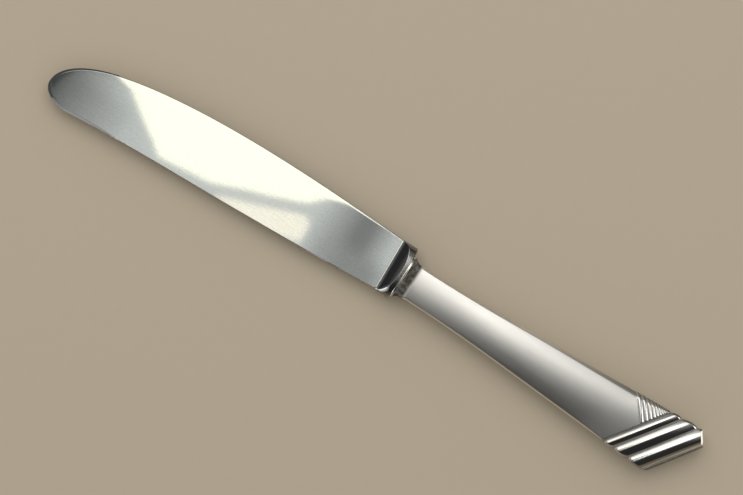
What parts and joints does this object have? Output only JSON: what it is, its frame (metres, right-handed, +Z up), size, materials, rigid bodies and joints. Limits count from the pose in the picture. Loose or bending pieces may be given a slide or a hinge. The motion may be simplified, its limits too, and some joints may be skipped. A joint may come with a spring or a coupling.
{
  "type": "table knife",
  "caption": "Hollow-handled table knife: round-tipped steel blade with a sloped oval shoulder, set in a tapering silver handle with slanting ribs at its pointed butt.",
  "frame": {"origin": "middle of the knife's length and width, on the surface that the knife lies on", "axes": "the knife lies on its side: +X along the handle towards the tip, +Y towards the back of the blade, +Z up"},
  "size_m": [0.2412, 0.0256, 0.0106],
  "materials": {
    "blade_steel": "fine satin stainless steel with a polished shoulder",
    "handle_silver": "satin silver brushed along the handle, ribs and mouth polished",
    "silver_solder": "dressed flush",
    "knife_cement": "matt resin and brick dust"
  },
  "bodies": {
    "root": {"blade": "blade_steel", "ferrule_plate": "handle_silver", "handle_front_half": "handle_silver", "handle_back_half": "handle_silver", "seam_solder": "silver_solder", "ferrule_solder": "silver_solder", "handle_cement": "knife_cement"}
  },
  "joints": []
}
